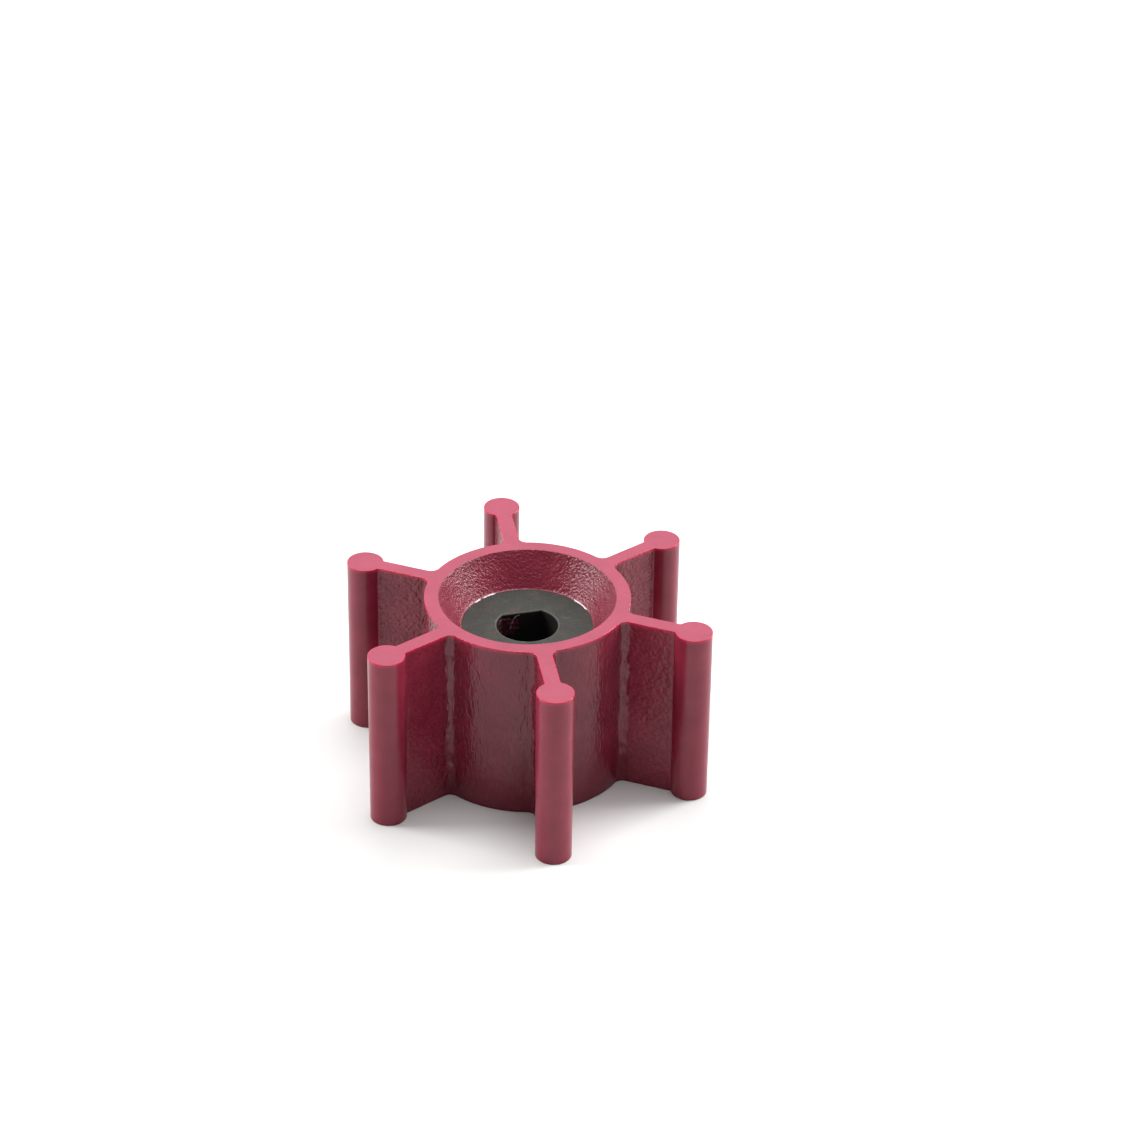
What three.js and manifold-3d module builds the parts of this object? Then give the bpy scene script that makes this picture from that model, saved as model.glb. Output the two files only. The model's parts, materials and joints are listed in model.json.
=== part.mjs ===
// Flexible pump impeller: a rubber moulding with six bulb-tipped vanes, bonded round a hard drive insert.
// Millimetres. +Z is the turning axis, and z = 0 is the lower end face. The flat of the bore faces -Y.
import * as THREE from 'three';
import { mergeVertices } from 'three/addons/utils/BufferGeometryUtils.js';
import Module from 'manifold-3d';

// Driving dimensions
const OUTER_DIAMETER = 50.8;
const HEIGHT = 24.9;
const VANE_COUNT = 6;
const FIRST_VANE_DEGREES = 24.6;

const WEB_THICKNESS = 2.06;
const BULB_TOP_RADIUS = 2.42;
const BULB_BASE_RADIUS = 2.38;
const ROOT_FILLET = 1.2;
const ROOT_PIVOT_RADIUS = 15.75;
const MID_PIVOT_RADIUS = 18.6;

const HUB_RADIUS = 13.5;
const RECESS_RIM_RADIUS = 11.6;
const RECESS_DEPTH = 4.4;

const INSERT_RADIUS = 8.65;
const RIB_COUNT = 12;
const RIB_TIP_RADIUS = 9.95;
const RIB_WIDTH = 2;
const RIB_LENGTH = 11;
const BORE_RADIUS = 4.05;
const BORE_FLAT_DISTANCE = 3.05;
const BORE_CHAMFER = 0.12;

const GAP = 0.3;
const OVERRUN = 1;

// Worked-out dimensions
const VANE_STEP = 2 * Math.PI / VANE_COUNT;
const FIRST_VANE_ANGLE = THREE.MathUtils.degToRad(FIRST_VANE_DEGREES);
const BULB_CIRCLE_RADIUS = OUTER_DIAMETER / 2 - BULB_TOP_RADIUS;
const HALF_WEB = WEB_THICKNESS / 2;
const SOCKET_RADIUS = HALF_WEB + GAP;
const SOCKET_ANGLE = Math.asin(HALF_WEB / SOCKET_RADIUS);
const FILLET_OFFSET = HALF_WEB + ROOT_FILLET;
const FILLET_REACH = Math.sqrt((HUB_RADIUS + ROOT_FILLET) ** 2 - FILLET_OFFSET ** 2);
const FILLET_ANGLE = Math.atan2(FILLET_OFFSET, FILLET_REACH);
const INSERT_LENGTH = HEIGHT - 2 * RECESS_DEPTH;

// Facets: a curved stretch of an outline has twice its number of segments
const OUTLINE_SEGMENTS = 5;
const BORE_SEGMENTS = 20;
const BULB_SEGMENTS = 48;
const ROUND_SEGMENTS = 96;

const wasm = await Module();
wasm.setup();

function solidFrom(geometry) {
  const bare = geometry.clone();
  bare.deleteAttribute('normal');
  bare.deleteAttribute('uv');
  const merged = mergeVertices(bare, 1e-4);
  const corners = merged.index.array;
  const triangles = [];
  for (let i = 0; i < corners.length; i += 3) {
    const [a, b, c] = corners.slice(i, i + 3);
    if (a !== b && b !== c && c !== a) triangles.push(a, b, c);
  }
  return new wasm.Manifold(new wasm.Mesh({
    numProp: 3,
    vertProperties: new Float32Array(merged.attributes.position.array),
    triVerts: new Uint32Array(triangles),
  }));
}

function geometryFrom(solid) {
  const mesh = solid.getMesh();
  const geometry = new THREE.BufferGeometry();
  geometry.setAttribute('position', new THREE.BufferAttribute(mesh.vertProperties, 3));
  geometry.setIndex(new THREE.BufferAttribute(mesh.triVerts, 1));
  geometry.computeVertexNormals();
  return geometry;
}

function extrudeUp(shape, base, height, curveSegments = OUTLINE_SEGMENTS) {
  const geometry = new THREE.ExtrudeGeometry(shape, { depth: height, bevelEnabled: false, curveSegments });
  return geometry.translate(0, 0, base);
}

function uprightCylinder(topRadius, baseRadius, base, height, segments) {
  const geometry = new THREE.CylinderGeometry(topRadius, baseRadius, height, segments);
  return geometry.rotateX(Math.PI / 2).translate(0, 0, base + height / 2);
}

// Drive insert: a plain core with ribs that key it into the rubber, and a D-shaped bore

function boreShape() {
  const flatAngle = Math.asin(BORE_FLAT_DISTANCE / BORE_RADIUS);
  const shape = new THREE.Shape();
  shape.absarc(0, 0, BORE_RADIUS, Math.PI - flatAngle, 2 * Math.PI + flatAngle, false);
  shape.closePath();
  return shape;
}

// The chamfer's cutter widens from the bore's outline, below the face, to the chamfer's full width at the face
function chamferCutter() {
  const geometry = new THREE.ExtrudeGeometry(boreShape(), {
    depth: OVERRUN,
    bevelThickness: BORE_CHAMFER,
    bevelSize: BORE_CHAMFER,
    bevelSegments: 1,
    curveSegments: BORE_SEGMENTS,
  });
  return solidFrom(geometry);
}

function insertCore(growth) {
  const radius = INSERT_RADIUS + growth;
  let core = solidFrom(
    uprightCylinder(radius, radius, RECESS_DEPTH - growth, INSERT_LENGTH + 2 * growth, ROUND_SEGMENTS),
  );
  const ribDepth = RIB_TIP_RADIUS - INSERT_RADIUS / 2 + growth;
  const rib = new THREE.BoxGeometry(ribDepth, RIB_WIDTH + 2 * growth, RIB_LENGTH + 2 * growth);
  rib.translate(INSERT_RADIUS / 2 + ribDepth / 2, 0, HEIGHT / 2);
  for (let i = 0; i < RIB_COUNT; i++) {
    core = core.add(solidFrom(rib));
    rib.rotateZ(2 * Math.PI / RIB_COUNT);
  }
  return core;
}

function driveInsert() {
  const bore = solidFrom(extrudeUp(boreShape(), -OVERRUN, HEIGHT + 2 * OVERRUN, BORE_SEGMENTS));
  const topChamfer = chamferCutter().translate([0, 0, HEIGHT - RECESS_DEPTH]);
  const baseChamfer = chamferCutter().translate([0, 0, RECESS_DEPTH - OVERRUN]);
  return geometryFrom(insertCore(0).subtract(bore).subtract(topChamfer).subtract(baseChamfer));
}

// Rubber hub: a sleeve with a dished recess at each end, and a filleted stub at the root of each vane

function addStub(shape, angle) {
  const along = new THREE.Vector2(Math.cos(angle), Math.sin(angle));
  const across = new THREE.Vector2(-along.y, along.x);
  const place = (x, y) => along.clone().multiplyScalar(x).addScaledVector(across, y);
  const lower = place(FILLET_REACH, -FILLET_OFFSET);
  const upper = place(FILLET_REACH, FILLET_OFFSET);
  const pivot = place(ROOT_PIVOT_RADIUS, 0);
  const quarter = Math.PI / 2;
  shape.absarc(lower.x, lower.y, ROOT_FILLET, angle + Math.PI - FILLET_ANGLE, angle + quarter, true);
  shape.absarc(pivot.x, pivot.y, SOCKET_RADIUS, angle + Math.PI + SOCKET_ANGLE,
    angle + Math.PI - SOCKET_ANGLE, true);
  shape.absarc(upper.x, upper.y, ROOT_FILLET, angle - quarter, angle - Math.PI + FILLET_ANGLE, true);
}

function hubOutline() {
  const shape = new THREE.Shape();
  for (let i = 0; i < VANE_COUNT; i++) {
    const angle = FIRST_VANE_ANGLE + i * VANE_STEP;
    addStub(shape, angle);
    shape.absarc(0, 0, HUB_RADIUS, angle + FILLET_ANGLE, angle + VANE_STEP - FILLET_ANGLE, false);
  }
  return shape;
}

function recessCutter() {
  const profile = [
    new THREE.Vector2(0, HEIGHT - RECESS_DEPTH),
    new THREE.Vector2(INSERT_RADIUS + GAP, HEIGHT - RECESS_DEPTH),
    new THREE.Vector2(RECESS_RIM_RADIUS, HEIGHT),
    new THREE.Vector2(RECESS_RIM_RADIUS, HEIGHT + OVERRUN),
    new THREE.Vector2(0, HEIGHT + OVERRUN),
  ];
  return new THREE.LatheGeometry(profile, ROUND_SEGMENTS).rotateX(Math.PI / 2);
}

function hubSleeve() {
  const body = solidFrom(extrudeUp(hubOutline(), 0, HEIGHT));
  const topRecess = solidFrom(recessCutter());
  const baseRecess = solidFrom(recessCutter().rotateX(Math.PI).translate(0, 0, HEIGHT));
  return geometryFrom(body.subtract(topRecess).subtract(baseRecess).subtract(insertCore(GAP)));
}

// Vanes: each bends at two places, so it has an inner blade, and an outer blade with the bulb on its tip

function startBlade(pivotRadius) {
  const shape = new THREE.Shape();
  shape.absarc(pivotRadius, 0, HALF_WEB, Math.PI / 2, 3 * Math.PI / 2, false);
  return shape;
}

function innerBlade() {
  const shape = startBlade(ROOT_PIVOT_RADIUS);
  shape.absarc(MID_PIVOT_RADIUS, 0, SOCKET_RADIUS, Math.PI + SOCKET_ANGLE, Math.PI - SOCKET_ANGLE, true);
  return extrudeUp(shape, 0, HEIGHT);
}

function outerBladeWithBulb() {
  const shape = startBlade(MID_PIVOT_RADIUS);
  shape.lineTo(BULB_CIRCLE_RADIUS, -HALF_WEB);
  shape.lineTo(BULB_CIRCLE_RADIUS, HALF_WEB);
  const bulb = uprightCylinder(BULB_TOP_RADIUS, BULB_BASE_RADIUS, 0, HEIGHT, BULB_SEGMENTS);
  bulb.translate(BULB_CIRCLE_RADIUS, 0, 0);
  return geometryFrom(solidFrom(extrudeUp(shape, 0, HEIGHT)).add(solidFrom(bulb)));
}

// Assembly

function namedMesh(name, geometry, color, roughness) {
  const mesh = new THREE.Mesh(geometry, new THREE.MeshStandardMaterial({ color, roughness, metalness: 0 }));
  mesh.name = name;
  return mesh;
}

function rubberMesh(name, geometry) {
  return namedMesh(name, geometry, 0xc4476b, 0.45);
}

const impeller = new THREE.Group();
impeller.add(namedMesh('drive_insert', driveInsert(), 0x4e4a46, 0.7));
impeller.add(rubberMesh('hub_sleeve', hubSleeve()));
for (let i = 0; i < VANE_COUNT; i++) {
  const vane = new THREE.Group();
  vane.rotation.z = FIRST_VANE_ANGLE + i * VANE_STEP;
  vane.add(rubberMesh(`vane_${i + 1}_blade`, innerBlade()));
  vane.add(rubberMesh(`vane_${i + 1}_tip`, outerBladeWithBulb()));
  impeller.add(vane);
}

export default impeller;
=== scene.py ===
import itertools
import json
import math

import bpy
import numpy as np
from mathutils import Matrix, Vector


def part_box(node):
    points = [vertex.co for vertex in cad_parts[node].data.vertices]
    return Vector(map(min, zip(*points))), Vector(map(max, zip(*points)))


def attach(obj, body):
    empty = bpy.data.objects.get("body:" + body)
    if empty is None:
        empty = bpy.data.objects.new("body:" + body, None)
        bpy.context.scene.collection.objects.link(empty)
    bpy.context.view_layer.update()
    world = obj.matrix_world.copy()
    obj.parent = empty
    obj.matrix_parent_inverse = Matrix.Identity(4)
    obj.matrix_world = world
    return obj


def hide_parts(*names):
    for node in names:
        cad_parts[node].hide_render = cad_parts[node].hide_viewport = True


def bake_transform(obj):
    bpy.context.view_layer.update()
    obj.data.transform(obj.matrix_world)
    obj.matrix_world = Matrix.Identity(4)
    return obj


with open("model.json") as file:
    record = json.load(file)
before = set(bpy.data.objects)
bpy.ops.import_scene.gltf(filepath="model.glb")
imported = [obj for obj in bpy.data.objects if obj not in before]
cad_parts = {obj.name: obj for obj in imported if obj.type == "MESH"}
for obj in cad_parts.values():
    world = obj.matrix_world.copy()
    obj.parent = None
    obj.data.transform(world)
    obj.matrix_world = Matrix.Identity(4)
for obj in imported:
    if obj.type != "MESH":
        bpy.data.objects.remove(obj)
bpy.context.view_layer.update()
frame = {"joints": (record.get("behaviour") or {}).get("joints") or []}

# Sizes are in millimetres, and become metres when a mesh is made. Plan positions are from the turning axis.
MM = 0.001
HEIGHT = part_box("hub_sleeve")[1].z / MM
INSERT_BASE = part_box("drive_insert")[0].z / MM
INSERT_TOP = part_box("drive_insert")[1].z / MM

# The moulding
HALF_WEB = 1.03
BULB_TOP_RADIUS = 2.42
BULB_BASE_RADIUS = 2.38
BULB_CIRCLE_RADIUS = 25.4 - BULB_TOP_RADIUS
HUB_RADIUS = 13.5
ROOT_FILLET = 1.2
NECK_FILLET = 0.25
RECESS_RIM_RADIUS = 11.6
EDGE_ROUND = 0.08
RIM_ROUND = 0.06

# The insert
INSERT_RADIUS = 8.65
BORE_RADIUS = 4.05
BORE_FLAT_DISTANCE = 3.05
BORE_CHAMFER = 0.12
RIB_COUNT = 12
RIB_TIP_RADIUS = 9.95
RIB_HALF_WIDTH = 1.0
RIB_HALF_LENGTH = 5.5

# Degrees round the insert between which the flash on its edge is thick and carries a painted pale glint
FLASH_ARCS = ((103, 131), (9, 33))

# Where the moulding is cut into pieces, and how far to either side of the mid pivot a point is found along each
# vane
ROOT_SEAM = 14.6
MID_SEAM = 17.05
MID_BEND_REACH = 1.45

# Mesh density
WALL_STEP = 0.2
EDGE_STEPS = 3
CAP_SUPPORT = 0.06
LADDER_RUNGS = 8
BARREL_COLUMNS = 21
FILLET_COLUMNS = 11
WEB_COLUMNS = 19
NECK_COLUMNS = 4
BULB_COLUMNS = 31
CONE_ROWS = 26
BORE_ROWS = 46
BORE_ARC_COLUMNS = 180
BORE_FLAT_COLUMNS = 42
FILM_ROWS = 26
STRAND_ROWS = 41
STRAND_COLUMNS = 10


# Noise that is the same on every run ------------------------------------------------------------------------

def smooth_noise(points, cell, seed):
    """Value noise from -1 to 1. cell is the size of its features, one number or one for each axis."""
    scaled = points / np.asarray(cell, float)
    corner = np.floor(scaled)
    part = scaled - corner
    part = part ** 3 * (part * (part * 6 - 15) + 10)
    corner = corner.astype(np.int64)
    total = np.zeros(len(points))
    for step in itertools.product((0, 1), repeat=3):
        key = (corner + step) @ np.array([73856093, 19349663, 83492791]) + seed * 40503
        key = (key ^ (key >> 13)) * 1274126177 & 0xFFFFFFFF
        key = (key ^ (key >> 16)) * 668265263 & 0xFFFFFFFF
        value = (key >> 8 & 0xFFFF) / 32767.5 - 1
        total += value * np.prod(np.where(step, part, 1 - part), axis=1)
    return total


def fade(distance, start, end):
    t = np.clip((distance - start) / (end - start), 0, 1)
    return t * t * (3 - 2 * t)


def waviness(points):
    """Slow unevenness of the moulded walls."""
    calm = 1 - 0.6 * fade(np.hypot(points[:, 0], points[:, 1]), 20.0, 21.0)
    return calm * (0.020 * smooth_noise(points, 4.5, 1) + 0.010 * smooth_noise(points, 2.1, 2))


def wall_relief(points):
    """Fine relief of the moulded walls, which changes from the hub over the fillets and webs to the bulbs."""
    radius = np.hypot(points[:, 0], points[:, 1])
    hub = 1 - fade(radius, 13.6, 14.4)
    fillet = fade(radius, 13.52, 13.8) * (1 - fade(radius, 14.35, 14.8))
    web = fade(radius, 14.2, 15.2) * (1 - fade(radius, 20.0, 20.9))
    runs = np.abs(smooth_noise(points, (0.55, 0.55, 1.5), 3)) - 0.3
    dimples = smooth_noise(points, 0.75, 4) + 0.5 * smooth_noise(points, 0.36, 5)
    steps = np.tanh(4 * smooth_noise(points, (1.0, 1.0, 1.4), 8)) + 0.7 * smooth_noise(points, (0.5, 0.5, 0.6), 9)
    return 0.030 * hub * runs + 0.062 * fillet * steps + (0.001 + 0.009 * web) * dimples


def cone_grain(points):
    """Coarse sparkling grain of the recess walls."""
    return 0.020 * smooth_noise(points, 0.36, 6) + 0.020 * smooth_noise(points, 1.6, 7)


# Meshes -----------------------------------------------------------------------------------------------------

def make_piece(name, points, faces, materials, face_materials, marks, flat_faces=()):
    """A smooth-shaded mesh from points in millimetres.

    marks has a number from 0 to 1 for each point, which the materials read as a painted lit band along the walls'
    top edges, a painted pale glint on the flash in the recesses, paler bore chamfers on the insert where rubbed
    and with a painted highlight, and torn film in the bore.
    """
    mesh = bpy.data.meshes.new(name)
    mesh.from_pydata((points * MM).tolist(), [], faces)
    for material in materials:
        mesh.materials.append(material)
    smooth = np.ones(len(faces), bool)
    smooth[list(flat_faces)] = False
    mesh.polygons.foreach_set("use_smooth", smooth)
    mesh.polygons.foreach_set("material_index", np.asarray(face_materials, np.int32))
    rest = mesh.attributes.new("rest_mm", "FLOAT_VECTOR", "POINT")
    rest.data.foreach_set("vector", points.astype(np.float32).ravel())
    # The marks carry painted light on the rubber, rubbed and painted-highlit chamfers on the insert, and torn
    # film
    wear_and_light = mesh.attributes.new("wear_and_painted_light", "FLOAT", "POINT")
    wear_and_light.data.foreach_set("value", np.asarray(marks, np.float32))
    mesh.update()
    piece = bpy.data.objects.new(name, mesh)
    bpy.context.scene.collection.objects.link(piece)
    return piece


def ring_faces(stations, columns, closed):
    """Quads of a grid whose rows are rings. A closed grid's last ring joins its first."""
    k = np.arange(stations if closed else stations - 1)[:, None]
    j = np.arange(columns)[None, :]
    after_k, after_j = (k + 1) % stations, (j + 1) % columns
    quads = np.stack([k * columns + j, k * columns + after_j,
                      after_k * columns + after_j, after_k * columns + j], axis=-1)
    return quads.reshape(-1, 4)


def wall_levels():
    """(inward offset, height) of each ring up an outer wall, with a small round at both ends."""
    turns = np.radians(np.linspace(0, 90, EDGE_STEPS + 1))
    offsets = EDGE_ROUND * (1 - np.cos(turns))
    drops = EDGE_ROUND * (1 - np.sin(turns))
    count = round((HEIGHT - 2 * EDGE_ROUND) / WALL_STEP)
    middle = np.linspace(EDGE_ROUND, HEIGHT - EDGE_ROUND, count + 1)[1:-1]
    offset = np.concatenate([offsets[::-1], np.zeros(len(middle)), offsets])
    height = np.concatenate([drops[::-1], middle, HEIGHT - drops])
    return offset, height


WALL_OFFSETS, WALL_HEIGHTS = wall_levels()
WALL_RELIEF = fade(np.minimum(WALL_HEIGHTS, HEIGHT - WALL_HEIGHTS), 0.15, 0.7)
# A painted lit band along the walls: 1 just under the top edge and fading to 0 lower down, so the shaded bottom
# edges get none
WALL_TOP_LIT_BAND = 1 - fade(HEIGHT - WALL_HEIGHTS, 0.12, 0.55)


def arc(centre, radius, start, end, count):
    """count points of an arc without its end point, and the unit directions from its centre."""
    angles = start + (end - start) * np.arange(count) / count
    out = np.stack([np.cos(angles), np.sin(angles)], axis=-1)
    return np.asarray(centre) + radius * out, out


def turned(points, angle):
    c, s = math.cos(angle), math.sin(angle)
    return points @ np.array([[c, s], [-s, c]])


def straight(start, end, count):
    t = np.arange(count)[:, None] / count
    return np.asarray(start) * (1 - t) + np.asarray(end) * t


def on_wall(plan, out, height, relief):
    """The 3-D points of one wall ring, pushed along its outward plan directions by the surface relief."""
    points = np.column_stack([plan, np.full(len(plan), height)])
    push = waviness(points) + relief * wall_relief(points)
    points[:, :2] += out * push[:, None]
    return points


# Vanes ------------------------------------------------------------------------------------------------------

class Vane:
    """One vane: its direction, its two joints and their distances from the turning axis."""

    def __init__(self, number):
        joints = {j["name"]: j for j in frame["joints"]}
        self.number = number
        self.root = joints[f"vane_{number}_root_flex"]
        self.mid = joints[f"vane_{number}_mid_flex"]
        x, y = self.root["pos_m"][:2]
        self.angle = math.atan2(y, x)
        self.root_radius = math.hypot(x, y) / MM
        self.mid_radius = math.hypot(*self.mid["pos_m"][:2]) / MM

    def at(self, radius):
        """The point at that distance out along the vane, in metres, at half height."""
        return Vector((radius * math.cos(self.angle), radius * math.sin(self.angle), HEIGHT / 2)) * MM


VANES = [Vane(number) for number in range(1, 7)]


def blade_side(start, end):
    """Builds the upper side of a web between two distances, as a function of the inward offset."""
    count = round((end - start) / WALL_STEP)
    x = np.linspace(start, end, count + 1)

    def side(offset, height):
        out = np.tile([0.0, 1.0], (len(x), 1))
        return np.column_stack([x, np.full(len(x), HALF_WEB - offset)]), out

    return side


def bulb_radius(height):
    return BULB_BASE_RADIUS + (BULB_TOP_RADIUS - BULB_BASE_RADIUS) * height / HEIGHT


def bulb_side(start):
    """Builds the upper side of a web's outer end: the web, the small neck fillet and half of the bulb."""

    def side(offset, height):
        radius = bulb_radius(height)
        neck_y = HALF_WEB + NECK_FILLET
        neck_x = BULB_CIRCLE_RADIUS - math.sqrt((radius + NECK_FILLET) ** 2 - neck_y ** 2)
        turn = math.atan2(neck_y, BULB_CIRCLE_RADIUS - neck_x)
        web = straight((start, HALF_WEB - offset), (neck_x, HALF_WEB - offset), WEB_COLUMNS)
        neck, neck_in = arc((neck_x, neck_y), NECK_FILLET + offset, -math.pi / 2, -turn, NECK_COLUMNS)
        bulb, bulb_out = arc((BULB_CIRCLE_RADIUS, 0), radius - offset, math.pi - turn, 0, BULB_COLUMNS)
        plan = np.vstack([web, neck, bulb])
        out = np.vstack([np.tile([0.0, 1.0], (len(web), 1)), -neck_in, bulb_out])
        return plan, out

    return side


def vane_piece(name, vane, side, tip):
    """A closed stretch of vane. side gives its upper outline; tip says that a rounded end closes it."""
    mirror = np.array([1.0, -1.0])

    def ring(offset, height, relief):
        plan, out = side(offset, height)
        if tip:
            end = np.array([[BULB_CIRCLE_RADIUS + bulb_radius(height) - offset, 0.0]])
            plan = np.vstack([plan * mirror, end, plan[::-1]])
            out = np.vstack([out * mirror, [[1.0, 0.0]], out[::-1]])
        else:
            plan = np.vstack([plan * mirror, plan[::-1]])
            out = np.vstack([out * mirror, out[::-1]])
        return on_wall(turned(plan, vane.angle), turned(out, vane.angle), height, relief)

    cap_offset = EDGE_ROUND + CAP_SUPPORT
    rings = [ring(cap_offset, 0.0, 0)]
    rings += [ring(o, z, r) for o, z, r in zip(WALL_OFFSETS, WALL_HEIGHTS, WALL_RELIEF)]
    rings += [ring(cap_offset, HEIGHT, 0)]
    columns = len(rings[0])
    walls = ring_faces(len(rings), columns, closed=False)
    is_end = np.zeros(columns, bool)
    is_end[columns - 1] = True
    if not tip:
        is_end[columns // 2 - 1] = True
    wall_flat = np.tile(is_end, len(rings) - 1)
    points = list(rings)
    faces = walls.tolist()
    kinds = [MOULDED] * len(faces)
    row_marks = np.concatenate([[0.0], WALL_TOP_LIT_BAND, [0.5]])
    marks = [np.repeat(row_marks, columns)]
    pairs = (columns - 1) // 2 if tip else columns // 2
    for row, upward in ((0, False), (len(rings) - 1, True)):
        added, cap = ladder(rings[row], row * columns, sum(len(p) for p in points), pairs, tip)
        points.append(added)
        marks.append(np.zeros(len(added)))
        faces += cap if upward else [face[::-1] for face in cap]
        kinds += [GROUND] * len(cap)
    piece = make_piece(name, np.vstack(points), faces, RUBBER, kinds, np.concatenate(marks),
                       np.flatnonzero(wall_flat))
    grid = np.stack(rings)
    lower, upper = grid[:, :pairs], grid[:, ::-1][:, :pairs]
    return piece, lower, upper, columns


def ladder(ring, first, fresh, pairs, tip):
    """Fills a ring whose halves mirror each other, by rungs between matching points."""
    lower = np.arange(pairs)
    upper = len(ring) - 1 - lower
    t = (np.arange(1, LADDER_RUNGS) / LADDER_RUNGS)[None, :, None]
    between = ring[lower][:, None] * (1 - t) + ring[upper][:, None] * t
    rung = np.empty((pairs, LADDER_RUNGS + 1), int)
    rung[:, 0] = first + lower
    rung[:, -1] = first + upper
    rung[:, 1:-1] = fresh + np.arange(pairs * (LADDER_RUNGS - 1)).reshape(pairs, -1)
    faces = []
    for a, b in zip(rung[:-1], rung[1:]):
        faces += [[a[i], b[i], b[i + 1], a[i + 1]] for i in range(LADDER_RUNGS)]
    if tip:
        end = first + pairs
        last = rung[-1]
        faces += [[last[i], end, last[i + 1]] for i in range(LADDER_RUNGS)]
    return between.reshape(-1, 3), [[int(v) for v in face] for face in faces]


# Hub --------------------------------------------------------------------------------------------------------

def hub_plan(offset):
    """The hub's outline with its six filleted stubs, moved inwards by offset, and its outward directions."""
    step = 2 * math.pi / len(VANES)
    fillet_y = HALF_WEB + ROOT_FILLET
    fillet_x = math.sqrt((HUB_RADIUS + ROOT_FILLET) ** 2 - fillet_y ** 2)
    fillet_turn = math.atan2(fillet_y, fillet_x)
    half_web = HALF_WEB - offset
    barrel, barrel_out = arc((0, 0), HUB_RADIUS - offset, -step / 2, -fillet_turn, BARREL_COLUMNS)
    fillet, fillet_in = arc((fillet_x, -fillet_y), ROOT_FILLET + offset,
                            math.pi - fillet_turn, math.pi / 2, FILLET_COLUMNS)
    corner = np.array([[ROOT_SEAM, -half_web]])
    lower = np.vstack([barrel, fillet, [[fillet_x, -half_web]], corner])
    lower_out = np.vstack([barrel_out, -fillet_in, [[0.0, -1.0]], [[0.0, -1.0]]])
    end = straight((ROOT_SEAM, -half_web), (ROOT_SEAM, half_web), LADDER_RUNGS)[1:]
    mirror = np.array([1.0, -1.0])
    sector = np.vstack([lower, end, (lower * mirror)[::-1]])
    sector_out = np.vstack([lower_out, np.zeros_like(end), (lower_out * mirror)[::-1]])
    plan = np.vstack([turned(sector[:-1], vane.angle) for vane in VANES])
    out = np.vstack([turned(sector_out[:-1], vane.angle) for vane in VANES])
    return plan, out, len(sector) - 1, len(lower) - 1


def recess_profile():
    """Radius, height and grain down one recess, from the rim's round to the foot of the cone."""
    foot_radius, foot_height = INSERT_RADIUS + 0.11, INSERT_TOP + 0.05
    slope = np.array([foot_radius - RECESS_RIM_RADIUS, foot_height - HEIGHT])
    slope /= np.linalg.norm(slope)
    rim = np.array([RECESS_RIM_RADIUS, HEIGHT])
    t = np.linspace(0, 1, 5)[:, None]
    start, end = rim + [RIM_ROUND, 0], rim + slope * RIM_ROUND
    rounded = start * (1 - t) ** 2 + rim * 2 * t * (1 - t) + end * t ** 2
    down = (np.arange(1, CONE_ROWS + 1) / CONE_ROWS)[:, None]
    cone = end + (np.array([foot_radius, foot_height]) - end) * down
    profile = np.vstack([rounded, cone])
    relief = fade(HEIGHT - profile[:, 1], 0.1, 0.6)
    normal = np.array([slope[1], -slope[0]])
    return profile, relief, normal


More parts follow.
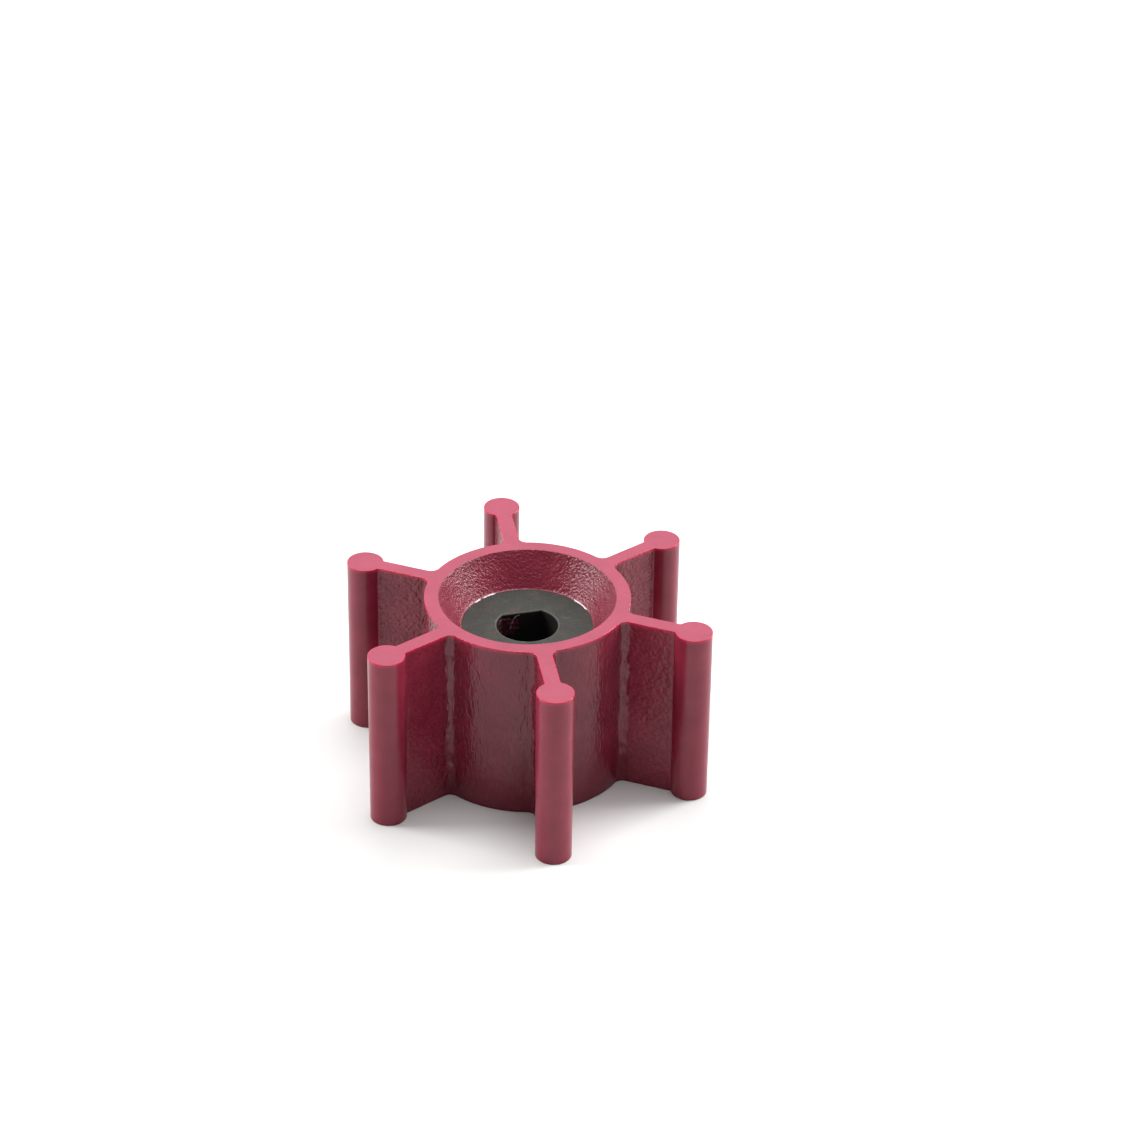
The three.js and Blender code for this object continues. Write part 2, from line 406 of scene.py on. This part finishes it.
def make_hub():
    """The hub moulding: a ring with a recess at each end, gripping the insert."""
    plans = [hub_plan(offset) for offset in WALL_OFFSETS]
    plan, out, sector, corner = plans[len(plans) // 2]
    columns = len(plan)
    bearing = np.arctan2(plan[:, 1], plan[:, 0])
    around = np.column_stack([np.cos(bearing), np.sin(bearing)])
    rows, kinds, marks = [], [], []

    def add(points, kind, mark):
        rows.append(points)
        kinds.append(kind)
        marks.append(np.broadcast_to(mark, columns))

    for (ring, _, _, _), height, relief, mark in zip(plans, WALL_HEIGHTS, WALL_RELIEF, WALL_TOP_LIT_BAND):
        add(on_wall(ring, out, height, relief), MOULDED, mark)
    kinds[-1] = GROUND
    profile, relief, normal = recess_profile()

    def circle(radius, height):
        return np.column_stack([around * np.reshape(radius, (-1, 1)), np.full(columns, height)])

    def recess(upper):
        """Rows from the end face's rim to the insert, and the same from below."""
        made = []
        for (radius, height), depth in zip(profile, relief):
            ring = circle(radius, height)
            if not upper:
                ring[:, 2] = HEIGHT - ring[:, 2]
            push = depth * cone_grain(ring)
            ring[:, :2] += around * (normal[0] * push)[:, None]
            ring[:, 2] += normal[1] * push * (1 if upper else -1)
            made.append(ring)
        return made

    def lip(upper):
        """The thin ragged flash that laps on to the insert's end face, and the hidden wall behind it. Its marks
        paint a pale glint where the flash is thick.
        """
        foot = circle(9.0, 0.0)
        seed = 20 if upper else 30
        ragged = 0.5 + 0.9 * smooth_noise(foot, 0.9, seed) + 0.6 * smooth_noise(foot, 0.35, seed + 1)
        thick = np.zeros(columns)
        for start, end in FLASH_ARCS:
            middle, half = math.radians(start + end) / 2, math.radians(end - start) / 2
            thick = np.maximum(thick, 1 - fade(np.abs(bearing - middle), half * 0.6, half))
        thick *= fade(smooth_noise(foot, 0.8, seed + 2), -0.55, -0.15)
        reach = INSERT_RADIUS - np.clip(0.05 * ragged, 0.0, 0.09) - thick * (0.07 + 0.06 * ragged)
        swell = 0.012 + 0.075 * thick
        made = [circle(INSERT_RADIUS + 0.06, INSERT_TOP), circle(reach + 0.05, INSERT_TOP),
                circle(reach, INSERT_TOP), circle(reach + 0.01, INSERT_TOP)]
        for ring, share in zip(made, (1.3, 1.0, 0.5, 0.0)):
            ring[:, 2] += 0.004 + swell * share
        made.append(circle(INSERT_RADIUS - 0.01, INSERT_TOP + 0.003))
        made.append(circle(INSERT_RADIUS - 0.01, INSERT_TOP - 0.4))
        if not upper:
            for ring in made:
                ring[:, 2] = HEIGHT - ring[:, 2]
        return list(zip(made, (thick * 0.8, thick, thick, thick, 0.0, 0.0)))

    def face(upper):
        """Rows across one flat end face, from its outer edge to the recess rim."""
        rim = circle(RECESS_RIM_RADIUS + RIM_ROUND, HEIGHT if upper else 0.0)
        outer = rows[-1] if upper else rows[0]
        return [outer * (1 - t) + rim * t for t in (0.03, 0.2, 0.4, 0.6, 0.8, 0.97)]

    for ring in face(True):
        add(ring, GROUND, 0.0)
    for ring in recess(True):
        add(ring, RECESS, 0.0)
    for ring, pale in lip(True):
        add(ring, RECESS, pale)
    below = [(ring, RECESS, pale) for ring, pale in lip(False)[::-1]]
    below += [(ring, RECESS, 0.0) for ring in recess(False)[::-1]]
    below += [(ring, GROUND, 0.0) for ring in face(False)[::-1]]
    for ring, kind, pale in below:
        add(ring, kind, pale)

    faces = ring_faces(len(rows), columns, closed=True)
    face_kinds = np.repeat(kinds, columns)
    in_sector = np.arange(columns) % sector
    is_end = (in_sector >= corner) & (in_sector < corner + LADDER_RUNGS)
    end_rows = np.arange(len(rows)) < len(WALL_HEIGHTS) - 1
    flat = np.flatnonzero(end_rows[:, None] & is_end[None, :])
    piece = make_piece("hub_moulding", np.vstack(rows), faces.tolist(), RUBBER, face_kinds,
                       np.concatenate(marks), flat)
    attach(piece, "hub")
    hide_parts("hub_sleeve")
    return piece, np.stack(rows[:len(WALL_HEIGHTS)]), sector, corner


# Insert -----------------------------------------------------------------------------------------------------

def bore_plan(offset):
    """The D-shaped outline grown outwards by offset, from one end of its flat round to the other."""
    radius, flat = BORE_RADIUS + offset, BORE_FLAT_DISTANCE + offset
    turn = math.asin(flat / radius)
    curve, _ = arc((0, 0), radius, math.pi - turn, 2 * math.pi + turn, BORE_ARC_COLUMNS)
    half = math.sqrt(radius ** 2 - flat ** 2)
    return np.vstack([curve, straight((half, flat), (-half, flat), BORE_FLAT_COLUMNS)])


def make_insert():
    """The drive insert: a finely pitted bush with a chamfered D bore and hidden ribs."""
    base = bore_plan(0)
    columns = len(base)
    bearing = np.arctan2(base[:, 1], base[:, 0])
    around = np.column_stack([np.cos(bearing), np.sin(bearing)])
    rows, wear_and_light = [], []

    def add(plan, height, relief, wear_and_highlight=0.0, upwards=0):
        points = np.column_stack([plan, np.full(columns, height)])
        grain = 0.006 * smooth_noise(points, 0.35, 11) + 0.012 * smooth_noise(points, 1.3, 12)
        pits = -0.05 * fade(smooth_noise(points, 0.55, 13), 0.62, 0.85)
        points[:, 2] += upwards * relief * (grain + pits)
        rows.append(points)
        wear_and_light.append(np.full(columns, wear_and_highlight))

    def end_face(upper):
        height, sign = (INSERT_TOP, 1) if upper else (INSERT_BASE, -1)
        inner = bore_plan(BORE_CHAMFER)
        ring = around * INSERT_RADIUS
        # Each entry is the outline, its height, its mark and its share of the pitting; the mark paints the
        # chamfer paler, for rubbing and a painted highlight
        made = [(base, height - sign * (BORE_CHAMFER + 0.04), 0.6, 0)]
        for share in (0.15, 0.5, 0.85):
            made.append((bore_plan(BORE_CHAMFER * share), height - sign * BORE_CHAMFER * (1 - share), 1.0, 0))
        made += [(inner, height, 1.0, 0)]
        for t in (0.02, *np.linspace(0.06, 0.94, 17), 0.985):
            made.append((inner * (1 - t) + ring * t, height, 0.0, 1))
        made.append((ring * 0.998, height - sign * 0.02, 0.0, 0))
        made.append((ring, height - sign * 0.1, 0.0, 0))
        return [(plan, z, relief, wear_and_highlight, sign) for plan, z, wear_and_highlight, relief in made]

    for height in np.linspace(INSERT_BASE + 0.5, INSERT_TOP - 0.5, BORE_ROWS):
        add(base, height, 0)
    for plan, z, relief, wear_and_highlight, sign in end_face(True):
        add(plan, z, relief, wear_and_highlight, sign)
    middle = HEIGHT / 2
    ends = (RIB_HALF_LENGTH + 0.02, RIB_HALF_LENGTH)
    heights = [middle + ends[0], middle + ends[1], *np.linspace(middle + 4, middle - 4, 9),
               middle - ends[1], middle - ends[0]]
    rib_turn = np.abs((bearing * RIB_COUNT / (2 * math.pi) + 0.5) % 1 - 0.5) * 2 * math.pi / RIB_COUNT
    ribbed = np.where(RIB_TIP_RADIUS * np.sin(rib_turn) < RIB_HALF_WIDTH, RIB_TIP_RADIUS, INSERT_RADIUS)
    for height in heights:
        inside = abs(height - middle) <= RIB_HALF_LENGTH
        add(around * (ribbed[:, None] if inside else INSERT_RADIUS), height, 0)
    for plan, z, relief, wear_and_highlight, sign in end_face(False)[::-1]:
        add(plan, z, relief, wear_and_highlight, sign)
    faces = ring_faces(len(rows), columns, closed=True)[:, ::-1]
    piece = make_piece("insert_bush", np.vstack(rows), faces.tolist(), [INSERT], np.zeros(len(faces)),
                       np.concatenate(wear_and_light))
    piece.data.set_sharp_from_angle(angle=math.radians(40))
    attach(piece, "hub")
    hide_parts("drive_insert")
    return piece


def make_bore_film():
    """A thin ragged film of rubber that crept on to the bore's wall, at one end of its flat."""
    outline = bore_plan(0)
    plan = np.vstack([outline[-20:], outline[:12]])
    inward = -plan / np.linalg.norm(plan, axis=1)[:, None]
    heights = np.linspace(INSERT_TOP - 0.7, INSERT_TOP - 3.7, FILM_ROWS)
    across = np.linspace(-1, 1, len(plan))
    front = []
    for i, height in enumerate(heights):
        points = np.column_stack([plan, np.full(len(plan), height)])
        down = i / (len(heights) - 1) * 2 - 1
        ragged = 0.8 * smooth_noise(points, 0.7, 41) + 0.5 * smooth_noise(points, 0.3, 42)
        depth = 0.12 * (0.85 - 1.1 * across ** 2 - 1.1 * down ** 2 + ragged)
        points[:, :2] += inward * np.clip(depth, -0.04, 0.10)[:, None]
        front.append(points)
    front = np.stack(front)
    back = front.copy()
    back[:, :, :2] = plan - inward * 0.08
    rings = np.concatenate([front, back[:, ::-1]], axis=1)
    stations, columns = rings.shape[:2]
    faces = ring_faces(stations, columns, closed=False).tolist()
    half = columns // 2
    for row, flip in ((0, True), (stations - 1, False)):
        for j in range(half - 1):
            face = [row * columns + j, row * columns + j + 1,
                    row * columns + columns - 2 - j, row * columns + columns - 1 - j]
            faces.append(face[::-1] if flip else face)
    piece = make_piece("bore_film", rings.reshape(-1, 3), faces, [BORE_FILM],
                       np.zeros(len(faces)), np.zeros(stations * columns))
    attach(piece, "hub")


def make_bore_strand():
    """A torn strand of the same film that lies up the flat of the bore."""
    # Each stop is a place along the flat and a depth below the end face
    stops = np.array([(-2.05, 3.1), (-1.72, 2.75), (-1.36, 1.75), (-1.16, 0.98), (-0.80, 0.55), (-0.28, 0.36)])
    t = np.linspace(0, len(stops) - 1, STRAND_ROWS)
    x = np.interp(t, range(len(stops)), stops[:, 0])
    drop = np.interp(t, range(len(stops)), stops[:, 1])
    centres = np.column_stack([x, np.full(len(t), BORE_FLAT_DISTANCE - 0.03), INSERT_TOP - drop])
    centres[:, 0] += 0.07 * smooth_noise(centres, 0.4, 51)
    girth = 0.055 * (1 - (t / t[-1]) ** 3 * 0.6) * (1 + 0.45 * smooth_noise(centres, 0.3, 52))
    along = np.gradient(centres, axis=0)
    along /= np.linalg.norm(along, axis=1)[:, None]
    side = np.cross(along, [0.0, 1.0, 0.0])
    turns = np.arange(STRAND_COLUMNS) * 2 * math.pi / STRAND_COLUMNS
    rings = (centres[:, None] + girth[:, None, None]
             * (side[:, None] * np.cos(turns)[:, None] + np.array([0.0, 0.8, 0.0]) * np.sin(turns)[:, None]))
    total = len(rings) * STRAND_COLUMNS
    faces = ring_faces(len(rings), STRAND_COLUMNS, closed=False)[:, ::-1].tolist()
    faces += [list(range(STRAND_COLUMNS)), list(range(total - 1, total - STRAND_COLUMNS - 1, -1))]
    piece = make_piece("bore_strand", rings.reshape(-1, 3), faces, [BORE_FILM],
                       np.zeros(len(faces)), np.ones(total))
    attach(piece, "hub")


# Materials --------------------------------------------------------------------------------------------------

MOULDED, GROUND, RECESS = range(3)


class Shader:
    """A material with short calls for the nodes that these surfaces share. Noise scales are per millimetre."""

    def __init__(self, name):
        self.material = bpy.data.materials.new(name)
        self.material.use_nodes = True
        self.tree = self.material.node_tree
        self.surface = self.tree.nodes["Principled BSDF"]
        self.rest = self.add("ShaderNodeAttribute", attribute_name="rest_mm").outputs["Vector"]
        # The point marks: painted light on the rubber, rubbed and painted-highlit chamfers on the insert, torn
        # film in the bore
        self.wear_and_light = self.add("ShaderNodeAttribute", attribute_name="wear_and_painted_light").outputs["Fac"]
        parts = self.add("ShaderNodeSeparateXYZ")
        self.feed(parts.inputs[0], self.rest)
        self.depthwise = parts.outputs["Y"]
        self.height = parts.outputs["Z"]
        length = self.add("ShaderNodeVectorMath", operation="LENGTH")
        self.feed(length.inputs[0], self.stretched((1.0, 1.0, 0.0)))
        self.reach = length.outputs["Value"]

    def add(self, kind, **settings):
        node = self.tree.nodes.new(kind)
        for key, value in settings.items():
            setattr(node, key, value)
        return node

    def feed(self, socket, value):
        if isinstance(value, bpy.types.NodeSocket):
            self.tree.links.new(value, socket)
        else:
            socket.default_value = value

    def stretched(self, factors):
        node = self.add("ShaderNodeVectorMath", operation="MULTIPLY")
        self.feed(node.inputs[0], self.rest)
        self.feed(node.inputs[1], factors)
        return node.outputs["Vector"]

    def noise(self, scale, detail=2.0, roughness=0.5, vector=None, distortion=0.0):
        node = self.add("ShaderNodeTexNoise")
        self.feed(node.inputs["Vector"], vector or self.rest)
        for key, value in (("Scale", scale), ("Detail", detail), ("Roughness", roughness),
                           ("Distortion", distortion)):
            self.feed(node.inputs[key], value)
        return node.outputs["Fac"]

    def spread(self, value, low, high, to_low=0.0, to_high=1.0):
        node = self.add("ShaderNodeMapRange", clamp=True)
        for key, given in (("Value", value), ("From Min", low), ("From Max", high),
                           ("To Min", to_low), ("To Max", to_high)):
            self.feed(node.inputs[key], given)
        return node.outputs["Result"]

    def maths(self, operation, a, b):
        node = self.add("ShaderNodeMath", operation=operation)
        self.feed(node.inputs[0], a)
        self.feed(node.inputs[1], b)
        return node.outputs["Value"]

    def blend(self, factor, a, b):
        node = self.add("ShaderNodeMix", data_type="FLOAT")
        for socket, value in zip(node.inputs[0:1] + node.inputs[2:4], (factor, a, b)):
            self.feed(socket, value)
        return node.outputs[0]

    def colours(self, factor, a, b):
        node = self.add("ShaderNodeMix", data_type="RGBA")
        self.feed(node.inputs[0], factor)
        for socket, value in ((node.inputs[6], a), (node.inputs[7], b)):
            self.feed(socket, value if isinstance(value, bpy.types.NodeSocket) else (*value, 1.0))
        return node.outputs[2]

    def bump(self, height, distance_mm, under=None):
        node = self.add("ShaderNodeBump")
        self.feed(node.inputs["Height"], height)
        self.feed(node.inputs["Distance"], distance_mm * MM)
        if under:
            self.feed(node.inputs["Normal"], under)
        return node.outputs["Normal"]


RUBBER_DEEP = (0.215, 0.015, 0.036)
RUBBER_LIGHT = (0.262, 0.023, 0.050)
RUBBER_DUST_AND_SHEEN = (0.345, 0.088, 0.150)
RUBBER_LIT_EDGE = (0.460, 0.020, 0.060)
RUBBER_PALE_GLINT = (0.800, 0.620, 0.660)


def rubber_colour(s, dust_and_sheen, shade=1.0):
    """Clouded raspberry with pale specks. The second argument is how much the whole face is paled, by a dusting
    and by a painted sheen; the third darkens it as painted shade.
    """
    colour = s.colours(s.spread(s.noise(0.28, 3.0), 0.3, 0.7), RUBBER_DEEP, RUBBER_LIGHT)
    colour = s.colours(shade, (0.0, 0.0, 0.0), colour)
    specks = s.spread(s.noise(5.5, 2.0, 0.6), 0.62, 0.78, 0.0, 0.10 + dust_and_sheen * 1.6)
    return s.colours(s.maths("MAXIMUM", specks, dust_and_sheen), colour, RUBBER_DUST_AND_SHEEN)


def moulded_rubber():
    """The walls: glossy with drawn runs on the hub, dimpled on the webs, satin on the bulbs. Painted shade
    darkens the base colour most on the hub, less on the webs and least on the bulbs, and a painted lit band runs
    along their top edges.
    """
    s = Shader("rubber_moulded")
    on_hub = s.spread(s.reach, 14.2, 15.0, 1.0, 0.0)
    on_bulb = s.spread(s.reach, 20.3, 20.9)
    # Painted shade: the hub's and webs' base colour is darkened more than the bulbs'
    shade = s.blend(on_bulb, s.blend(on_hub, 0.82, 0.68), 0.93)
    # A painted lit band: the marks mix the walls' top edges towards a brighter red
    s.feed(s.surface.inputs["Base Color"], s.colours(s.maths("MULTIPLY", s.wear_and_light, 0.8),
                                                     rubber_colour(s, 0.0, shade), RUBBER_LIT_EDGE))
    runs = s.noise(1.9, 2.0, 0.5, vector=s.stretched((1.0, 1.0, 0.34)), distortion=0.9)
    dimples = s.noise(1.9, 1.0, 0.4)
    satin = s.spread(s.noise(1.0, 3.0, 0.6), 0.35, 0.65, 0.24, 0.33)
    polished = s.spread(runs, 0.35, 0.65, 0.10, 0.14)
    webs = s.blend(on_bulb, satin, 0.29)
    s.feed(s.surface.inputs["Roughness"], s.blend(on_hub, webs, polished))
    s.surface.inputs["Specular IOR Level"].default_value = 0.38
    web_depth = s.spread(s.depthwise, -9.0, 8.0, 0.08, 0.25)
    depth = s.blend(on_bulb, s.blend(on_hub, web_depth, 0.105), 0.004)
    relief = s.bump(s.maths("MULTIPLY", s.blend(on_hub, dimples, runs), depth), 1.0)
    s.feed(s.surface.inputs["Normal"], s.bump(s.noise(5.0, 2.0, 0.5), 0.004, under=relief))
    return s.material


def ground_rubber():
    """The end faces: cut flat and faintly combed, paled by a dusting and by a painted sheen, and a little
    darkened by painted shade.
    """
    s = Shader("rubber_ground")
    # Paled by a dusting and a painted sheen, and darkened a little as painted shade
    s.feed(s.surface.inputs["Base Color"], rubber_colour(s, 0.22, 0.92))
    s.surface.inputs["Specular IOR Level"].default_value = 0.45
    s.feed(s.surface.inputs["Roughness"], s.spread(s.noise(1.2, 3.0), 0.35, 0.65, 0.50, 0.62))
    combed = s.bump(s.noise(2.2, 3.0, 0.6, vector=s.stretched((0.35, 1.6, 1.0))), 0.010)
    s.feed(s.surface.inputs["Normal"], s.bump(s.noise(9.0, 2.0, 0.6), 0.010, under=combed))
    return s.material


def recess_rubber():
    """The recess walls: coarse sparkling grain, darkened by painted shade, and a painted pale glint on the flash
    where they meet the insert.
    """
    s = Shader("rubber_recess")
    # Painted shade darkens the recess colour, and the marks paint a pale glint on the flash
    s.feed(s.surface.inputs["Base Color"], s.colours(s.wear_and_light, rubber_colour(s, 0.0, 0.73), RUBBER_PALE_GLINT))
    s.feed(s.surface.inputs["Roughness"], s.spread(s.noise(1.4, 3.0, 0.6), 0.35, 0.65, 0.24, 0.36))
    coarse = s.bump(s.noise(2.9, 2.0, 0.5), 0.12)
    s.feed(s.surface.inputs["Normal"], s.bump(s.noise(7.0, 2.0, 0.6), 0.030, under=coarse))
    return s.material


def insert_material():
    """Hard dark moulding: matte, finely pitted and scratched, paler on the bore's chamfers where rubbed and with
    a painted highlight, and darkened inside the bore by painted shade.
    """
    s = Shader("insert_matte")
    clouds = s.noise(0.5, 4.0, 0.6)
    grit = s.noise(4.5, 3.0, 0.65)
    colour = s.colours(s.spread(clouds, 0.3, 0.7), (0.022, 0.023, 0.019), (0.035, 0.035, 0.030))
    colour = s.colours(s.spread(grit, 0.54, 0.72, 0.0, 0.45), colour, (0.080, 0.080, 0.070))
    scratches = s.noise(3.0, 1.0, vector=s.stretched((0.12, 1.9, 1.0)), distortion=0.3)
    colour = s.colours(s.spread(scratches, 0.70, 0.76, 0.0, 0.5), colour, (0.13, 0.125, 0.11))
    # Paler bore chamfers: rubbing, and a painted highlight
    colour = s.colours(s.maths("MULTIPLY", s.wear_and_light, s.spread(grit, 0.3, 0.6, 0.15, 0.7)),
                       colour, (0.12, 0.115, 0.10))
    film = s.maths("MULTIPLY", s.spread(s.noise(0.6, 2.0), 0.56, 0.70, 0.0, 0.08),
                   s.spread(s.noise(3.0, 2.0), 0.40, 0.6))
    colour = s.colours(film, colour, RUBBER_LIGHT)
    # Painted shade: inside the bore, below the chamfers, the colour is nearly black
    inside = s.maths("MULTIPLY", s.spread(s.height, INSERT_TOP - 0.25, INSERT_TOP - 0.14, 1.0, 0.0),
                     s.spread(s.height, INSERT_BASE + 0.14, INSERT_BASE + 0.25))
    colour = s.colours(inside, colour, (0.008, 0.008, 0.007))
    s.feed(s.surface.inputs["Base Color"], colour)
    s.feed(s.surface.inputs["Roughness"], s.spread(clouds, 0.3, 0.7, 0.62, 0.78))
    s.surface.inputs["Specular IOR Level"].default_value = 0.25
    coarse = s.bump(grit, 0.050)
    s.feed(s.surface.inputs["Normal"], s.bump(s.noise(11.0, 2.0, 0.6), 0.012, under=coarse))
    return s.material


def film_material():
    """Rubber film in the bore: dark and dirty, paler where it is torn."""
    s = Shader("rubber_film")
    clouds = s.spread(s.noise(2.4, 3.0, 0.6), 0.4, 0.65)
    colour = s.colours(clouds, (0.040, 0.010, 0.014), (0.110, 0.022, 0.036))
    s.feed(s.surface.inputs["Base Color"], s.colours(s.wear_and_light, colour, (0.42, 0.26, 0.30)))
    s.feed(s.surface.inputs["Roughness"], s.spread(s.noise(3.0, 2.0), 0.3, 0.7, 0.35, 0.5))
    s.feed(s.surface.inputs["Normal"], s.bump(s.noise(5.0, 3.0, 0.6), 0.030))
    return s.material


RUBBER = [moulded_rubber(), ground_rubber(), recess_rubber()]
INSERT = insert_material()
BORE_FILM = film_material()


# Putting the pieces together --------------------------------------------------------------------------------

def seam_normals(before, seam, after):
    """Unit normals along a seam from the columns on either side of it, so that both pieces shade alike."""
    across = after - before
    upward = np.gradient(seam, axis=0)
    normal = np.cross(across, upward)
    return normal / np.linalg.norm(normal, axis=1)[:, None]


def match_seams(piece, wanted):
    """Gives the wall corners at the seams the normals that both pieces share. wanted is {vertex: normal}."""
    mesh = piece.data
    custom = np.zeros((len(mesh.loops), 3), np.float32)
    corner_vertex = np.empty(len(mesh.loops), np.int32)
    mesh.loops.foreach_get("vertex_index", corner_vertex)
    smooth = np.empty(len(mesh.polygons), bool)
    mesh.polygons.foreach_get("use_smooth", smooth)
    sizes = np.empty(len(mesh.polygons), np.int32)
    mesh.polygons.foreach_get("loop_total", sizes)
    smooth_corner = np.repeat(smooth, sizes)
    table = np.zeros((len(mesh.vertices), 3), np.float32)
    for vertex, normal in wanted.items():
        table[vertex] = normal
    custom[smooth_corner] = table[corner_vertex[smooth_corner]]
    mesh.normals_split_custom_set(custom.tolist())


def make_moulding():
    hub, hub_walls, sector, corner = make_hub()
    hub_columns = hub_walls.shape[1]
    hub_wanted = {}
    for index, vane in enumerate(VANES):
        inner, inner_low, inner_high, inner_columns = vane_piece(
            f"vane_{vane.number}_inner_web", vane, blade_side(ROOT_SEAM, MID_SEAM), tip=False)
        outer, outer_low, outer_high, outer_columns = vane_piece(
            f"vane_{vane.number}_bulb_end", vane, bulb_side(MID_SEAM), tip=True)
        wanted = {"inner": {}, "outer": {}}
        levels = range(EDGE_STEPS + 1, len(WALL_HEIGHTS) - EDGE_STEPS - 1)
        rows = len(WALL_HEIGHTS)
        low_column = index * sector + corner
        for side, column, step in (("low", low_column, -1), ("high", low_column + LADDER_RUNGS, 1)):
            inner_grid = (inner_low if side == "low" else inner_high)[1:-1]
            outer_grid = (outer_low if side == "low" else outer_high)[1:-1]
            turn = 1 if side == "low" else -1
            root = seam_normals(hub_walls[:, (column + step) % hub_columns],
                                hub_walls[:, column % hub_columns], inner_grid[:, 1]) * turn
            mid = seam_normals(inner_grid[:, -2], inner_grid[:, -1], outer_grid[:, 1]) * turn
            for k in levels:
                hub_wanted[k * hub_columns + column % hub_columns] = root[k]
                first = (k + 1) * inner_columns
                last = inner_grid.shape[1] - 1
                at_root = first if side == "low" else first + inner_columns - 1
                at_mid = first + last if side == "low" else first + inner_columns - 1 - last
                wanted["inner"][at_root] = root[k]
                wanted["inner"][at_mid] = mid[k]
                outer_first = (k + 1) * outer_columns
                wanted["outer"][outer_first if side == "low" else outer_first + outer_columns - 1] = mid[k]
        match_seams(inner, wanted["inner"])
        match_seams(outer, wanted["outer"])
        vane.at(ROOT_SEAM)
        vane.at(2 * vane.root_radius - ROOT_SEAM)
        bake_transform(inner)
        vane.at(vane.mid_radius - MID_BEND_REACH)
        vane.at(vane.mid_radius + MID_BEND_REACH)
        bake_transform(outer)
        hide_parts(f"vane_{vane.number}_blade")
        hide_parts(f"vane_{vane.number}_tip")
    match_seams(hub, hub_wanted)


# Studio -----------------------------------------------------------------------------------------------------

VIEW_AZIMUTH = math.radians(-15.0)
VIEW_ELEVATION = math.radians(31.573)
VIEW_ROLL = math.radians(0.80)
VIEW_DISTANCE = 0.49897
VIEW_AIM = Vector((6.213, 6.585, 25.416)) * MM
VIEW_LENS = 121.33
FLOOR_REACH = 3.0

# Name, place and size in metres, and power
SOFTBOXES = (
    ("key_softbox", (0.22, 0.22, 1.90), (1.6, 1.5), 46.0),
    ("right_softbox", (1.25, 0.15, 0.90), (0.8, 0.8), 29.0),
    ("left_softbox", (-1.12, 0.50, 0.85), (0.6, 0.6), 20.0),
    ("white_backdrop", (-0.10, 1.40, 0.60), (4.0, 1.1), 15.0),
)
LIGHT_TARGET = Vector((0.0, 0.0, 0.012))


def make_camera():
    data = bpy.data.cameras.new("camera")
    data.lens = VIEW_LENS
    data.sensor_width = 36.0
    data.clip_start = 0.01
    data.clip_end = 20.0
    back = Vector((math.sin(VIEW_AZIMUTH) * math.cos(VIEW_ELEVATION),
                   -math.cos(VIEW_AZIMUTH) * math.cos(VIEW_ELEVATION), math.sin(VIEW_ELEVATION)))
    camera = bpy.data.objects.new("camera", data)
    aim = (-back).to_track_quat("-Z", "Y").to_matrix().to_4x4()
    camera.matrix_world = Matrix.Translation(VIEW_AIM + back * VIEW_DISTANCE) @ aim @ Matrix.Rotation(
        VIEW_ROLL, 4, "Z")
    bpy.context.scene.collection.objects.link(camera)
    bpy.context.scene.camera = camera


def make_floor():
    mesh = bpy.data.meshes.new("floor")
    r = FLOOR_REACH
    mesh.from_pydata([(-r, -r, 0), (r, -r, 0), (r, r, 0), (-r, r, 0)], [], [(0, 1, 2, 3)])
    material = bpy.data.materials.new("floor_white")
    material.use_nodes = True
    surface = material.node_tree.nodes["Principled BSDF"]
    surface.inputs["Base Color"].default_value = (0.61, 0.61, 0.602, 1.0)
    surface.inputs["Roughness"].default_value = 0.9
    surface.inputs["Specular IOR Level"].default_value = 0.2
    mesh.materials.append(material)
    floor = bpy.data.objects.new("floor", mesh)
    bpy.context.scene.collection.objects.link(floor)


def area_light(name, place, size, power):
    data = bpy.data.lights.new(name, "AREA")
    data.shape = "RECTANGLE"
    data.size, data.size_y = size
    data.energy = power
    light = bpy.data.objects.new(name, data)
    toward = LIGHT_TARGET - Vector(place)
    light.matrix_world = Matrix.Translation(place) @ toward.to_track_quat("-Z", "Y").to_matrix().to_4x4()
    light.visible_camera = False
    bpy.context.scene.collection.objects.link(light)


def make_light():
    for softbox in SOFTBOXES:
        area_light(*softbox)
    world = bpy.data.worlds.new("studio")
    world.use_nodes = True
    background = world.node_tree.nodes["Background"]
    background.inputs["Color"].default_value = (1.0, 1.0, 1.0, 1.0)
    background.inputs["Strength"].default_value = 0.15
    bpy.context.scene.world = world
    bpy.context.scene.view_settings.view_transform = "Standard"


make_camera()
make_floor()
make_light()
make_insert()
make_bore_film()
make_bore_strand()
make_moulding()
